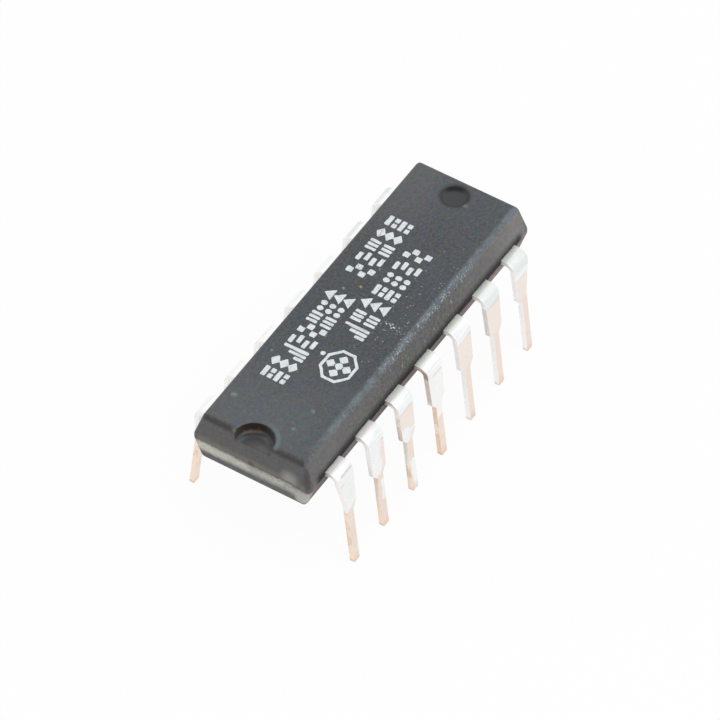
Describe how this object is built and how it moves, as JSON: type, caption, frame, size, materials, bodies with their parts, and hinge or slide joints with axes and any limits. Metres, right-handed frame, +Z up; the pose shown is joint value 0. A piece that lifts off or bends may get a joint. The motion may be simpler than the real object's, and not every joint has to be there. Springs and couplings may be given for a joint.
{
  "type": "dual in-line integrated circuit",
  "caption": "Plastic dual in-line integrated circuit: a dark moulded body with a notch at the lead 1 end, tinned leads down both sides, and its chip, paddle and bond wires inside.",
  "frame": {"origin": "midway between the two lead rows and between the body's ends, on the plane of the lead tips", "axes": "+X along the lead rows, from the notched lead 1 end to the plain end; -Y towards leads 1 to 7; +Z up, out of the body's top face"},
  "size_m": [0.019, 0.009, 0.0074],
  "materials": {
    "epoxy": "fine moulded grain",
    "tinned_lead": "satin tin",
    "bare_frame": "rolled strip",
    "bond_layer": "silver-filled",
    "silicon": "polished",
    "gold_wire": "drawn gold",
    "marking_ink": "stamped ink"
  },
  "bodies": {
    "root": {"body": "epoxy", "lead_1": "tinned_lead", "lead_2": "tinned_lead", "lead_3": "tinned_lead", "lead_4": "tinned_lead", "lead_5": "tinned_lead", "lead_6": "tinned_lead", "lead_7": "tinned_lead", "lead_8": "tinned_lead", "lead_9": "tinned_lead", "lead_10": "tinned_lead", "lead_11": "tinned_lead", "lead_12": "tinned_lead", "lead_13": "tinned_lead", "lead_14": "tinned_lead", "die_paddle": "bare_frame", "die_attach": "bond_layer", "silicon_die": "silicon", "bond_wire_1": "gold_wire", "bond_wire_2": "gold_wire", "bond_wire_3": "gold_wire", "bond_wire_4": "gold_wire", "bond_wire_5": "gold_wire", "bond_wire_6": "gold_wire", "bond_wire_7": "gold_wire", "bond_wire_8": "gold_wire", "bond_wire_9": "gold_wire", "bond_wire_10": "gold_wire", "bond_wire_11": "gold_wire", "bond_wire_12": "gold_wire", "bond_wire_13": "gold_wire", "bond_wire_14": "gold_wire"}
  },
  "joints": []
}
